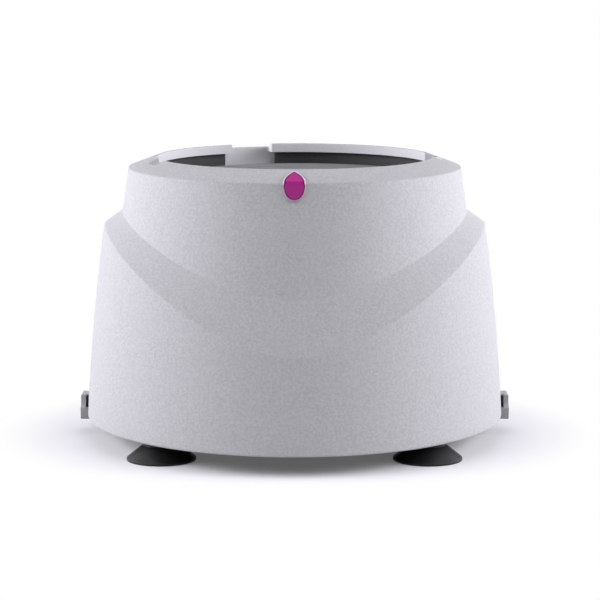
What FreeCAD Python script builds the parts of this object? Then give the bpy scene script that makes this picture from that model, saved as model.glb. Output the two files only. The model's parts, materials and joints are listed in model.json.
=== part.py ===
import FreeCAD, Part
import math
import os
from FreeCAD import Vector

# Drive unit of a laboratory vortex mixer, in millimetres.
# The floor is z = 0, the drive axis is the Z axis, the front of the housing faces -Y.

# Housing: outside form
base_edge_z = 8.3           # bottom edge of the housing over the floor
base_radius = 90.6          # outside radius at the bottom edge
base_edge_round = 1.0
shoulder_step = 10.7        # the side shoulders stand this far outside the rim
shoulder_z = 92.7           # height of the side shoulders' lower edge
shoulder_rise = 5.7         # height of the sloping band at the side shoulders
wall_bulge = 0.95           # how far the lower wall bows out of a straight cone
swoop_low_drop = 44.4       # fall of the band's lower edge from the sides to the front
swoop_high_drop = 27.9      # fall of the band's upper edge from the sides to the front
swoop_low_power = 1.6       # shape of the two falling edges
swoop_high_power = 1.75
rim_width = 12.6            # from the lip's edge to the outer edge of the top rim
rim_z = 117.15
rim_rise = 4.75             # the rim slopes up by this much to the lip
rim_edge_round = 0.7
upper_taper = 0.143         # radius gained per millimetre of height below the rim
wall = 3.0                  # moulded wall thickness
rim_skin = 4.0              # material left over the hollow inside the rim

# Well with the bayonet lip
lip_radius = 59.2           # inside radius of the bayonet lip
lip_thickness = 4.2
lip_edge_round = 0.4
lip_end_round = 0.4         # rounded ends of the lip at the notches
lip_overhang = 4.8          # how far the lip stands over the well
well_depth = 16.2           # well floor below the top of the lip
well_floor_thickness = 2.6
rear_notch_width = 18.9     # openings of the three bayonet notches along the lip
right_notch_width = 20.0
left_notch_width = 11.2
rear_notch_angle = -19.5    # from the back of the housing, towards +X
right_notch_angle = 84.5
left_notch_angle = -108.5
liner_thickness = 2.0
liner_notch_margin = 2.7    # the liner stops this far short of a notch
liner_clearance = 0.15

# Indicator lens over the front of the rim
leaf_width = 8.2
leaf_dip = 60.0             # the seat is cut along a line this steep
leaf_fall = 6.4             # length below the rim's edge
leaf_crease_drop = 0.6      # the widest place lies this far below the rim's edge
leaf_tip_margin = 4.2       # the upper tip stays this far from the lip's edge
leaf_upper_bow = (0.69, 0.52)   # a point on the upper edge, in shares of the half width and the rise
leaf_lower_bow = (0.785, 0.62)  # the same for the lower edge
lens_depth = 1.2
lens_clearance = 0.12
led_radius = 1.2
led_drop = 5.4              # LED axis below the rim's edge
led_board_width = 8.0
led_board_height = 7.0
led_board_thickness = 0.8
led_clearance = 0.1

# Base plate and feet
plate_recess = 4.0          # underside of the base plate over the housing's edge
plate_thickness = 3.0
plate_clearance = 0.35
plate_ledge = 3.0           # width of the housing's seat for the base plate
plate_ledge_height = 2.4
plate_rib_height = 2.2
plate_rib_thickness = 1.8
plate_rib_inset = 16.5      # from the feet's circle to the outside of the rib
vent_count = 12
vent_length = 16.0
vent_width = 3.0
vent_inner_radius = 34.0
foot_inset = 12.1           # feet's circle inside the housing's edge
foot_radius = 14.5
foot_rim_thickness = 0.8
foot_waist_radius = 7.6
foot_waist_z = 6.4
foot_cup_radius = 12.6
foot_cup_depth = 3.2
foot_stem_radius = 3.4
foot_head_radius = 5.0
foot_head_height = 2.2
foot_tip_radius = 2.4
foot_edge_round = 0.3
foot_waist_round = 1.0
foot_head_round = 0.4
foot_fit = 0.05

# Side latches that hold the housing on the base plate
latch_reach = 3.1           # outer face beyond the housing's wall
latch_bottom_drop = 1.2     # lowest face below the housing's edge
latch_half_width = 8.0      # half width of the lower block
latch_block_height = 5.0
latch_tab_half_width = 5.0
latch_tab_height = 5.2      # height of the tab over its block
latch_tab_thickness = 2.1
latch_flare_round = 2.6
latch_top_round = 0.5
latch_lip_half_width = 3.6
latch_lip_height = 0.8
latch_lip_depth = 0.6       # how far the lip reaches into the housing's wall
latch_block_depth = 4.2
latch_knuckle_half_width = 4.8
latch_knuckle_radius = 1.6
latch_pin_radius = 0.75
latch_side_gap = 0.35
latch_notch_gap = 0.8
latch_pin_fit = 0.03
latch_pad_thickness = 0.9
latch_pad_margin = 0.4
latch_flare_share = 0.25    # the flare ends at this share of the tab's height
latch_edge_round = 0.4
latch_pin_short = 0.5       # the pin's ends lie this far inside the sides

# Drive
eccentricity = 2.0          # radius of the platform's orbit
deck_thickness = 3.0
deck_radius = 60.0
deck_bore_radius = 12.5
deck_window_radius = 11.4
deck_window_circle_radius = 41.0
damper_height = 12.0
damper_radius = 6.0
damper_circle_radius = 50.0
deck_screw_radius = 2.0
deck_screw_head_radius = 3.6
deck_screw_head_height = 2.2
motor_radius = 22.0
motor_headroom = 19.2       # free height between the control board and the motor
motor_boss_radius = 11.0
motor_boss_height = 2.4
motor_cap_length = 7.0
motor_cap_step = 1.5
motor_cap_neck_radius = 9.9
motor_cap_neck_height = 2.8
motor_edge_round = 1.0
terminal_x = 15.0
terminal_width = 4.8
terminal_length = 6.0
terminal_thickness = 0.8
screw_socket_radius_share = 0.45    # driver socket of every screw, in shares of its head
screw_socket_depth_share = 0.5
motor_screw_circle_radius = 16.5
motor_screw_radius = 1.5
motor_screw_depth = 6.0
motor_screw_head_radius = 2.8
motor_screw_head_height = 1.8
shaft_radius = 3.0
shaft_play = 0.05           # running clearance of the shaft
shaft_end_gap = 0.3
hub_radius = 10.0
hub_gap = 2.2               # hub over the deck
hub_height = 7.0
hub_pin_radius = 4.0
hub_roof = 1.0              # material over the end of the shaft
weight_radius = 25.0
weight_thickness = 5.6
weight_angle = 170.0
weight_edge_round = 0.6
set_screw_radius = 1.5
bearing_outer_radius = 11.0
bearing_width = 7.0
bearing_race = 2.05         # radial thickness of each race
bearing_ball_radius = 1.6
bearing_ball_play = 0.02
bearing_ball_count = 9
bearing_gap = 0.4           # hub face to bearing
bearing_spacer = 1.2        # radial width of the spacer under the inner race
bearing_screw_radius = 1.5
bearing_screw_head_radius = 5.2
bearing_screw_head_height = 1.2

# Mixing platform
platform_gap = 2.2          # between the platform and the lip's edge
platform_sink = 9.0         # platform's top below the top of the lip
platform_thickness = 4.4
platform_skirt = 1.2        # turned-down edge
platform_edge_round = 0.8
platform_boss_wall = 3.0
platform_roof_gap = 0.5
mat_margin = 7.0            # the mat ends this far from the platform's edge
mat_thickness = 1.2
mat_groove_width = 1.6
mat_groove_depth = 0.5
mat_groove_pitch = 7.0
mat_groove_count = 6
guide_pin_radius = 3.0
guide_pin_inset = 11.0      # pins' circle inside the platform's edge
guide_floor_margin = 13.0   # pins' circle outside the hole in the well floor
guide_pin_count = 3
guide_pin_drop = 2.4        # pin end below the well floor's top
guide_bush_wall = 1.8
guide_bush_flange = 1.4
guide_bush_lift = 0.8
guide_play = 0.3

# Control board on the base plate
board_x = 74.0
board_y = 52.0
board_thickness = 1.6
board_standoff_height = 8.0
board_standoff_radius = 3.0
board_hole_margin = 4.5
board_screw_radius = 1.25
board_screw_head_radius = 2.5
board_screw_head_height = 1.6
board_centre_y = 8.0
capacitor_radius = 5.0
capacitor_height = 9.0
capacitor_edge_round = 0.6
capacitor_count = 3
capacitor_pitch = 13.0
heat_sink_length = 26.0
heat_sink_depth = 9.0
heat_sink_height = 12.0
heat_sink_base = 3.6
heat_sink_fin = 1.4
heat_sink_fin_count = 6

# Rear recess with the controls
recess_width = 66.0
recess_height = 24.0
recess_centre_z = 31.1
recess_depth = 12.1         # panel behind the housing's bottom edge
recess_round = 4.0
knob_x = -19.0
knob_radius = 8.6
knob_height = 7.4
knob_gap = 0.5
knob_edge_round = 0.8
knob_flute_count = 14
knob_flute_radius = 1.1
knob_flute_depth = 0.6
knob_taper = 0.5            # radius lost from the back to the front face
knob_bore_depth = 5.5
knob_mark_width = 1.0
knob_mark_depth = 0.5
knob_mark_start = 3.0       # inner end of the pointer groove from the knob's axis
knob_turn_start = 150.0     # pointer at rest, degrees to the left of straight up
pot_bush_radius = 3.5
pot_bush_fit = 0.1
pot_nut_radius = 5.6
pot_nut_height = 2.0
pot_shaft_radius = 3.0
pot_body_size = 13.0
pot_body_depth = 7.0
pot_bush_length = 6.4
rocker_x = 3.5
rocker_length = 11.6
rocker_height = 7.4
rocker_tilt = 8.0
rocker_gap = 0.4
rocker_rise = 1.6
rocker_crown = 1.2
rocker_crown_round = 6.0
rocker_edge_drop = 0.4
rocker_edge_round = 0.5
rocker_root = 1.8           # rocker below its pivot
rocker_root_taper = 1.2     # the root is this much shorter at each end
rocker_pivot_depth = 1.5    # pivot behind the panel's face
trunnion_radius = 1.0
trunnion_length = 1.4       # how far each pivot stub reaches into the rocker
switch_flange = 2.0
switch_flange_thickness = 1.4
switch_wall = 1.2
switch_depth = 13.0
switch_corner_round = 0.8
jack_x = 22.0
jack_radius = 4.0
jack_hole_radius = 2.8
jack_hole_depth = 9.5
jack_pin_radius = 1.0
jack_pin_recess = 1.0
jack_flange_radius = 5.6
jack_flange_thickness = 1.2
jack_body_width = 9.0
jack_body_depth = 11.0
panel_fit = 0.1             # controls in their panel holes

# Sizes, heights and places that follow from the sizes above
rim_radius = lip_radius + rim_width
well_radius = lip_radius + lip_overhang
shoulder_radius = rim_radius + shoulder_step
foot_circle_radius = base_radius - foot_inset
plate_rib_radius = foot_circle_radius - plate_rib_inset
recess_floor_y = base_radius - recess_depth
platform_radius = lip_radius - platform_gap
mat_radius = platform_radius - mat_margin
guide_pin_circle_radius = platform_radius - guide_pin_inset
well_floor_hole_radius = guide_pin_circle_radius - guide_floor_margin
lip_z = rim_z + rim_rise    # the highest point of the housing
well_floor_z = lip_z - well_depth
platform_top_z = lip_z - platform_sink
plate_low_z = base_edge_z + plate_recess
plate_top_z = plate_low_z + plate_thickness
well_under_z = well_floor_z - well_floor_thickness
deck_top_z = well_under_z - damper_height
deck_low_z = deck_top_z - deck_thickness
hub_low_z = deck_top_z + hub_gap
hub_top_z = hub_low_z + hub_height
bearing_low_z = hub_top_z + bearing_gap
bearing_top_z = bearing_low_z + bearing_width
platform_low_z = platform_top_z - platform_thickness
board_low_z = plate_top_z + board_standoff_height
board_top_z = board_low_z + board_thickness
motor_low_z = board_top_z + motor_headroom
lip_under_z = lip_z - lip_thickness
guide_hole_radius = guide_pin_radius + eccentricity + guide_play
recess_panel_y = recess_floor_y - wall
overlap = 1.0               # tools run this far past the faces they cut
seam_angle = -60.0          # the round forms begin here, clear of every cut-out
swoop_points = 48           # points that carry each edge of the band
band_overshoot = 0.3        # the cut runs past the lower wall by this share of the band's width

up = Vector(0, 0, 1)


def polar(radius, angle, z=0.0):
    """Point at a radius and an angle in degrees from +X."""
    return Vector(radius * math.cos(math.radians(angle)), radius * math.sin(math.radians(angle)), z)


def rounded_wire(corners):
    """Closed outline in the XZ plane; each corner is (x, z) or (x, z, radius)."""
    points = [Vector(c[0], 0, c[1]) for c in corners]
    edges = []
    ends = []
    for i, corner in enumerate(corners):
        here = points[i]
        radius = corner[2] if len(corner) > 2 else 0
        if not radius:
            ends.append((here, here))
            continue
        back = (points[i - 1] - here).normalize()
        ahead = (points[(i + 1) % len(points)] - here).normalize()
        half = back.getAngle(ahead) / 2
        inward = (back + ahead).normalize()
        start = here + back * (radius / math.tan(half))
        end = here + ahead * (radius / math.tan(half))
        middle = here + inward * (radius / math.sin(half) - radius)
        edges.append((i, Part.Arc(start, middle, end).toShape()))
        ends.append((start, end))
    arcs = dict(edges)
    wire = []
    for i in range(len(points)):
        if i in arcs:
            wire.append(arcs[i])
        start = ends[i][1]
        end = ends[(i + 1) % len(points)][0]
        if start.distanceToPoint(end) > 1e-6:
            wire.append(Part.makeLine(start, end))
    return Part.Wire(wire)


def revolved(corners, angle=360.0):
    """Solid of revolution about the Z axis from an (r, z) outline."""
    return turned(Part.Face(rounded_wire(corners)).revolve(Vector(), up, angle), seam_angle)


def plate_xz(corners, low_y, high_y):
    """Plate with an (x, z) outline between two y values."""
    face = Part.Face(rounded_wire(corners))
    face.translate(Vector(0, low_y, 0))
    return face.extrude(Vector(0, high_y - low_y, 0))


def rectangle(centre, width, height, corner_radius=0.0):
    """Corners of a rectangle for the outline functions above."""
    x, z = centre
    return [(x + sx * width / 2, z + sz * height / 2, corner_radius)
            for sx, sz in ((-1, -1), (1, -1), (1, 1), (-1, 1))]


def box(low, high):
    return Part.makeBox(high[0] - low[0], high[1] - low[1], high[2] - low[2], Vector(*low))


def rod(radius, start, end):
    """Round bar between two points."""
    axis = end - start
    return Part.makeCylinder(radius, axis.Length, start, axis)


def post(radius, low_z, high_z, place=Vector()):
    """Upright round bar."""
    return Part.makeCylinder(radius, high_z - low_z, Vector(place.x, place.y, low_z))


def tube(inner, outer, low_z, high_z, place=Vector()):
    return post(outer, low_z, high_z, place).cut(post(inner, low_z - overlap, high_z + overlap, place))


def moved(shape, x=0.0, y=0.0, z=0.0):
    copy = shape.copy()
    copy.translate(Vector(x, y, z))
    return copy


def turned(shape, angle, axis=up, centre=Vector()):
    copy = shape.copy()
    copy.rotate(centre, axis, angle)
    return copy


def mirrored_x(shape):
    return shape.mirror(Vector(), Vector(1, 0, 0))


def save(name, *solids):
    shape = solids[0] if len(solids) == 1 else Part.makeCompound(list(solids))
    shape.exportStep(os.path.join("parts", name + ".step"))


def lower_wall_radius(z):
    """Outside radius of the bowed lower wall: a circle through its two ends with the given bulge."""
    run = shoulder_radius - base_radius
    rise = shoulder_z - base_edge_z
    chord = math.hypot(run, rise)
    radius = (chord * chord / 4 + wall_bulge * wall_bulge) / (2 * wall_bulge)
    centre_r = (base_radius + shoulder_radius) / 2 - (radius - wall_bulge) * rise / chord
    centre_z = (base_edge_z + shoulder_z) / 2 + (radius - wall_bulge) * run / chord
    return centre_r + math.sqrt(radius * radius - (z - centre_z) ** 2)


def upper_wall_radius(z):
    return rim_radius + upper_taper * (rim_z - z)


def swoop_edges(angle, inset):
    """The band's upper and lower edge at an angle: they fall from the sides to the front and back."""
    side = abs(math.cos(math.radians(angle)))
    high_z = shoulder_z + shoulder_rise - swoop_high_drop * (1 - side ** swoop_high_power)
    low_z = shoulder_z - swoop_low_drop * (1 - side ** swoop_low_power)
    high = polar(upper_wall_radius(high_z) - inset, angle, high_z - inset / 2)
    low = polar(lower_wall_radius(low_z) - inset, angle, low_z - inset / 2)
    return high, low


def closed_curve(points):
    curve = Part.BSplineCurve()
    steps = [float(i) for i in range(len(points) + 1)]
    curve.interpolate(Points=points, PeriodicFlag=True, Parameters=steps)
    return curve.toShape()


def space_over_band(inset):
    """Everything above the band, from well inside the upper wall to outside the lower wall."""
    inner = []
    outer = []
    for i in range(swoop_points):
        high, low = swoop_edges(360.0 * i / swoop_points, inset)
        inner.append(high * 2 - low)
        outer.append(low + (low - high) * band_overshoot)
    band = Part.makeRuledSurface(closed_curve(inner), closed_curve(outer))
    return band.extrude(Vector(0, 0, lip_z))


def lower_form(inset, low_z, edge_round=0.0):
    """Lower wall as a solid of revolution, up to the top of the side shoulders."""
    top_z = shoulder_z + shoulder_rise
    middle_z = (low_z + top_z) / 2
    foot = Vector(lower_wall_radius(low_z + edge_round) - inset, 0, low_z + edge_round)
    middle = Vector(lower_wall_radius(middle_z) - inset, 0, middle_z)
    head = Vector(lower_wall_radius(top_z) - inset, 0, top_z)
    low_axis = Vector(0, 0, low_z)
    top_axis = Vector(0, 0, top_z)
    edges = [Part.Arc(foot, middle, head).toShape(), Part.makeLine(head, top_axis),
             Part.makeLine(top_axis, low_axis)]
    if edge_round:
        under = Vector(foot.x - edge_round, 0, low_z)
        bend = under + Vector(math.sin(math.pi / 4), 0, 1 - math.cos(math.pi / 4)) * edge_round
        edges += [Part.makeLine(low_axis, under), Part.Arc(under, bend, foot).toShape()]
    else:
        edges.append(Part.makeLine(low_axis, foot))
    return turned(Part.Face(Part.Wire(Part.__sortEdges__(edges))).revolve(Vector(), up, 360), seam_angle)


def upper_form(inset=0.0):
    """Upper cone with the rim that slopes up to the lip; an inset moves both walls inwards."""
    low_z = shoulder_z - swoop_low_drop
    rim_low = rim_z - inset
    return revolved([
        (0, low_z),
        (upper_wall_radius(low_z) - inset, low_z),
        (upper_wall_radius(rim_low) - inset, rim_low, rim_edge_round),
        (lip_radius, lip_z - inset, lip_edge_round),
        (lip_radius, lip_under_z - 2 * inset),
        (0, lip_under_z - 2 * inset)])


def housing_outside():
    lower = lower_form(0.0, base_edge_z, base_edge_round)
    return upper_form().fuse(lower.cut(space_over_band(0.0)))


def housing_inside():
    """Hollow of the moulding: the outside form moved in by the wall, less the cup of the well."""
    ceiling_z = rim_z - rim_skin
    low_z = shoulder_z - swoop_low_drop
    upper = revolved([
        (0, low_z), (upper_wall_radius(low_z) - wall, low_z),
        (upper_wall_radius(ceiling_z) - wall, ceiling_z), (0, ceiling_z)])
    lower = lower_form(wall, base_edge_z - overlap).cut(space_over_band(wall))
    cup = post(well_radius + wall, well_under_z, lip_z)
    return upper.fuse(lower).cut(cup)


def notch_tool(half, end_round, outer, low_z, high_z):
    """Cut for one notch at the back: straight sides, a round far wall, and rounded corners at the lip."""
    reach = lip_radius + end_round
    centre = Vector(half + end_round, math.sqrt(reach ** 2 - (half + end_round) ** 2), 0)
    mouth = centre * (lip_radius / reach)
    side = Vector(half, centre.y, 0)
    middle = centre + ((mouth - centre) + (side - centre)).normalize() * end_round
    far = Vector(half, math.sqrt(outer ** 2 - half ** 2), 0)
    other = [Vector(-v.x, v.y, 0) for v in (mouth, middle, side, far)]
    edges = [Part.Arc(mouth, middle, side).toShape(), Part.makeLine(side, far),
             Part.Arc(far, Vector(0, outer, 0), other[3]).toShape(), Part.makeLine(other[3], other[2]),
             Part.Arc(other[2], other[1], other[0]).toShape(), Part.makeLine(other[0], mouth)]
    face = Part.Face(Part.Wire(edges))
    return moved(face, z=low_z).extrude(Vector(0, 0, high_z - low_z))


def bayonet_notches(margin, end_round, outer, low_z, high_z):
    """Cuts for the rear, right and left notch, each wider by a margin at both sides."""
    places = ((rear_notch_angle, rear_notch_width), (right_notch_angle, right_notch_width),
              (left_notch_angle, left_notch_width))
    return [turned(notch_tool(width / 2 + margin, end_round, outer, low_z, high_z), -angle)
            for angle, width in places]


def leaf(margin):
    """Leaf-shaped prism through the front of the rim, pointed at the top and round at the bottom.

    It is drawn across a line that dips into the rim, so heights are first laid off along the rim's two faces.
    """
    dip = math.radians(leaf_dip)
    slope_run = rim_radius - lip_radius
    slope_length = math.hypot(slope_run, rim_rise)
    slope_share = (rim_rise * math.cos(dip) + slope_run * math.sin(dip)) / slope_length
    wall_share = (math.cos(dip) + upper_taper * math.sin(dip)) / math.hypot(1, upper_taper)
    half = leaf_width / 2 + margin
    rise = (slope_length - leaf_tip_margin) * slope_share + margin
    wide = -leaf_crease_drop * wall_share
    low = -leaf_fall * wall_share - margin
    tip = Vector(0, 0, rise)
    base = Vector(0, 0, low)
    edges = []
    for side in (-1, 1):
        widest = Vector(side * half, 0, wide)
        upper_middle = Vector(side * half * leaf_upper_bow[0], 0, wide + (rise - wide) * leaf_upper_bow[1])
        lower_middle = Vector(side * half * leaf_lower_bow[0], 0, wide + (low - wide) * leaf_lower_bow[1])
        edges.append(Part.Arc(tip, upper_middle, widest).toShape())
        edges.append(Part.Arc(widest, lower_middle, base).toShape())
    face = Part.Face(Part.Wire(Part.__sortEdges__(edges)))
    face.translate(Vector(0, -rim_rise - leaf_fall, 0))
    prism = face.extrude(Vector(0, rim_rise + leaf_fall + 2 * lens_depth + wall, 0))
    return moved(turned(prism, -leaf_dip, Vector(1, 0, 0)), 0, -rim_radius, rim_z)


def lens_skin():
    return upper_form().cut(upper_form(lens_depth))


def rear_tool(centre_x, width, height, low_y, high_y, corner_radius=0.0):
    """Block on the rear controls' centre line."""
    return plate_xz(rectangle((centre_x, recess_centre_z), width, height, corner_radius), low_y, high_y)


def rear_rod(radius, centre_x, low_y, high_y):
    return rod(radius, Vector(centre_x, low_y, recess_centre_z), Vector(centre_x, high_y, recess_centre_z))


def plate_radius():
    return lower_wall_radius(plate_top_z) - wall - plate_clearance


def housing():
    outside = housing_outside()
    body = outside.cut(housing_inside())
    # seat of the base plate
    ledge_r = lower_wall_radius(plate_top_z) - wall
    ledge = tube(ledge_r - plate_ledge, ledge_r + wall / 2, plate_top_z, plate_top_z + plate_ledge_height)
    body = body.fuse(ledge)
    # walls of the rear recess
    around = rear_tool(0, recess_width + 2 * wall, recess_height + 2 * wall, recess_panel_y,
                       base_radius, recess_round + wall)
    body = body.fuse(around.common(outside))
    body = body.cut(rear_tool(0, recess_width, recess_height, recess_floor_y, base_radius + overlap,
                              recess_round))
    for hole in rear_holes():
        body = body.cut(hole)
    # well, floor opening and bayonet notches
    body = body.cut(post(well_radius, well_floor_z, lip_under_z))
    body = body.cut(post(well_floor_hole_radius, well_under_z - overlap, lip_z))
    for notch in bayonet_notches(0.0, lip_end_round, well_radius, lip_under_z - overlap, lip_z + overlap):
        body = body.cut(notch)
    for place in guide_places():
        hole_radius = guide_hole_radius + guide_bush_wall
        body = body.cut(post(hole_radius, well_under_z - overlap, lip_under_z, place))
    for place in damper_places():
        body = body.cut(post(deck_screw_radius, well_under_z - overlap, lip_under_z, place))
    # lens seat and the LED's hole behind it
    body = body.cut(leaf(lens_clearance).cut(upper_form(lens_depth)))
    body = body.cut(rod(led_radius + led_clearance, led_axis(rim_radius), led_axis(well_radius + wall)))
    # notches and keeper slots of the side latches
    for tool in latch_tools():
        body = body.cut(tool)
        body = body.cut(mirrored_x(tool))
    return body


def led_axis(radius):
    return Vector(0, -radius, rim_z - led_drop)


def guide_places():
    return [polar(guide_pin_circle_radius, 90 + 360 * i / guide_pin_count) for i in range(guide_pin_count)]


def damper_places():
    return [polar(damper_circle_radius, 45 + 90 * i) for i in range(4)]


def foot_places():
    return [polar(foot_circle_radius, 45 + 90 * i) for i in range(4)]


def board_places():
    half_x = board_x / 2 - board_hole_margin
    half_y = board_y / 2 - board_hole_margin
    return [Vector(sx * half_x, board_centre_y + sy * half_y, 0)
            for sx, sy in ((-1, -1), (1, -1), (1, 1), (-1, 1))]


# Side latch, drawn for the +X side

def latch_wall_x():
    return lower_wall_radius(base_edge_z + latch_block_height)


def latch_levels():
    """Bottom, step and top of the latch."""
    low_z = base_edge_z - latch_bottom_drop
    step_z = low_z + latch_block_height
    return low_z, step_z, step_z + latch_tab_height


def latch_pivot():
    low_z = latch_levels()[0]
    return Vector(latch_wall_x() + latch_reach - latch_block_depth / 2, 0, low_z + latch_block_height / 2)


def side_prism(outline, low_x, high_x):
    """Prism along X with a (y, z) outline."""
    return turned(plate_xz([(-c[0],) + tuple(c[1:]) for c in outline], -high_x, -low_x), 90)


def latch_outline():
    low_z, step_z, top_z = latch_levels()
    shoulder = step_z + latch_tab_height * latch_flare_share
    half = [(latch_half_width, low_z, latch_edge_round), (latch_half_width, step_z, latch_edge_round),
            (latch_tab_half_width, shoulder, latch_flare_round),
            (latch_tab_half_width, top_z, latch_top_round)]
    return half + [(-c[0],) + c[1:] for c in reversed(half)]


def latch_lever():
    low_z, step_z, top_z = latch_levels()
    outer_x = latch_wall_x() + latch_reach
    section = plate_xz([
        (outer_x - latch_block_depth, low_z, latch_edge_round),
        (outer_x, low_z, latch_edge_round),
        (outer_x, top_z, latch_top_round),
        (outer_x - latch_tab_thickness, top_z),
        (outer_x - latch_tab_thickness, step_z),
        (outer_x - latch_block_depth, step_z, latch_edge_round)], -latch_half_width, latch_half_width)
    lever = section.common(side_prism(latch_outline(), outer_x - latch_block_depth, outer_x))
    lip = box((latch_wall_x() - latch_lip_depth, -latch_lip_half_width, top_z - latch_lip_height),
              (outer_x - latch_tab_thickness, latch_lip_half_width, top_z))
    lever = lever.fuse(lip)
    pocket_half = latch_knuckle_half_width + latch_side_gap
    pivot = latch_pivot()
    pocket_x = pivot.x + latch_knuckle_radius + latch_side_gap
    lever = lever.cut(box((outer_x - latch_block_depth - overlap, -pocket_half, low_z - overlap),
                          (pocket_x, pocket_half, step_z + latch_side_gap)))
    return lever.cut(latch_pin_rod(latch_pin_radius))


def latch_pin_rod(radius):
    half = latch_half_width - latch_pin_short
    pivot = latch_pivot()
    return rod(radius, pivot - Vector(0, half, 0), pivot + Vector(0, half, 0))


def latch_pad():
    low_z, step_z, top_z = latch_levels()
    inner_x = latch_wall_x() + latch_reach - latch_tab_thickness
    half = latch_tab_half_width - latch_pad_margin
    return box((inner_x - latch_pad_thickness, -half, step_z + latch_pad_margin),
               (inner_x, half, top_z - latch_lip_height - latch_pad_margin))


def latch_tools():
    """Cuts in the housing for the latch: the notch in its edge and the keeper slot of its lip."""
    low_z, step_z, top_z = latch_levels()
    deep_x = latch_wall_x() - wall - plate_ledge
    reach_x = latch_wall_x() + latch_reach
    half = latch_half_width + latch_notch_gap
    notch = box((deep_x, -half, low_z - overlap), (reach_x, half, step_z + latch_notch_gap))
    slot_half = latch_lip_half_width + latch_side_gap
    slot = box((latch_wall_x() - latch_lip_depth - latch_side_gap, -slot_half,
                top_z - latch_lip_height - latch_side_gap),
               (reach_x, slot_half, top_z + latch_side_gap))
    return [notch, slot]


def latch_knuckle():
    """Tongue of the base plate that carries the latch's pin."""
    pivot = latch_pivot()
    root_x = plate_radius() - latch_block_depth - plate_ledge
    bar = plate_xz([(root_x, pivot.z), (pivot.x, pivot.z - latch_knuckle_radius),
                    (pivot.x, pivot.z + latch_knuckle_radius), (root_x, plate_top_z)],
                   -latch_knuckle_half_width, latch_knuckle_half_width)
    half = Vector(0, latch_knuckle_half_width, 0)
    return bar.fuse(rod(latch_knuckle_radius, pivot - half, pivot + half))


def base_plate():
    radius = plate_radius()
    plate = post(radius, plate_low_z, plate_top_z)
    plate = plate.fuse(tube(plate_rib_radius - plate_rib_thickness, plate_rib_radius,
                            plate_low_z - plate_rib_height, plate_low_z))
    half = latch_half_width + latch_notch_gap
    swing = math.hypot(latch_block_depth, latch_block_height) / 2 + latch_notch_gap
    relief = box((latch_pivot().x - swing, -half, 0), (base_radius, half, plate_top_z + overlap))
    knuckle = latch_knuckle()
    bore = latch_pin_rod(latch_pin_radius + latch_pin_fit)
    for tool, tongue, hole in ((relief, knuckle, bore),
                               (mirrored_x(relief), mirrored_x(knuckle), mirrored_x(bore))):
        plate = plate.cut(tool).fuse(tongue).cut(hole)
    slot = plate_slot()
    for i in range(vent_count):
        plate = plate.cut(turned(slot, 360 * (i + 0.5) / vent_count))
    for place in foot_places():
        stem_hole = post(foot_stem_radius + foot_fit, plate_low_z - overlap, plate_top_z + overlap, place)
        plate = plate.cut(stem_hole)
    for place in board_places():
        plate = plate.fuse(post(board_standoff_radius, plate_top_z, board_low_z, place))
        plate = plate.cut(post(board_screw_radius, plate_top_z, board_low_z + overlap, place))
    return plate


def plate_slot():
    """Vent slot with round ends, along X."""
    start = vent_inner_radius
    end = start + vent_length
    low = plate_low_z - overlap
    high = plate_top_z + overlap
    slot = box((start, -vent_width / 2, low), (end, vent_width / 2, high))
    for x in (start, end):
        slot = slot.fuse(post(vent_width / 2, low, high, Vector(x, 0, 0)))
    return slot


def foot():
    """Suction foot: flared cup with a snap-in stem that grips the base plate."""
    solid = revolved([
        (0, 0), (foot_radius, 0), (foot_radius, foot_rim_thickness, foot_edge_round),
        (foot_waist_radius, foot_waist_z, foot_waist_round), (foot_waist_radius, plate_low_z),
        (foot_stem_radius, plate_low_z), (foot_stem_radius, plate_top_z),
        (foot_head_radius, plate_top_z, foot_head_round),
        (foot_tip_radius, plate_top_z + foot_head_height, foot_head_round),
        (0, plate_top_z + foot_head_height)])
    ball_radius = (foot_cup_radius ** 2 + foot_cup_depth ** 2) / (2 * foot_cup_depth)
    return solid.cut(Part.makeSphere(ball_radius, Vector(0, 0, foot_cup_depth - ball_radius)))


def well_liner():
    """Dark bayonet track under the lip, open at the notches."""
    outer = well_radius - liner_clearance
    ring = tube(outer - liner_thickness, outer, well_floor_z, lip_under_z)
    for notch in bayonet_notches(liner_notch_margin, liner_clearance, well_radius + overlap,
                                 well_floor_z - overlap, lip_under_z + overlap):
        ring = ring.cut(notch)
    return ring


def deck_plate():
    deck = post(deck_radius, deck_low_z, deck_top_z)
    deck = deck.cut(post(deck_bore_radius, deck_low_z - overlap, deck_top_z + overlap))
    for place in damper_places():
        deck = deck.cut(post(deck_screw_radius, deck_low_z - overlap, deck_top_z + overlap, place))
    for place in motor_screw_places():
        deck = deck.cut(post(motor_screw_radius, deck_low_z - overlap, deck_top_z + overlap, place))
    # four round windows between the dampers
    for i in range(4):
        place = polar(deck_window_circle_radius, 90 * i)
        deck = deck.cut(post(deck_window_radius, deck_low_z - overlap, deck_top_z + overlap, place))
    return deck


def motor_screw_places():
    return [polar(motor_screw_circle_radius, 45 + 90 * i) for i in range(4)]


def headed_screw(place, radius, head_radius, head_height, seat_z, end_z, head_up=True):
    """Screw with its head on a seat, running to an end height."""
    head_end = seat_z + head_height if head_up else seat_z - head_height
    shank = post(radius, min(seat_z, end_z), max(seat_z, end_z), place)
    head = post(head_radius, min(seat_z, head_end), max(seat_z, head_end), place)
    slot_depth = head_height * screw_socket_depth_share
    slot_z = head_end - slot_depth if head_up else head_end
    drive = post(head_radius * screw_socket_radius_share, slot_z, slot_z + slot_depth, place)
    return shank.fuse(head).cut(drive)


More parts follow.
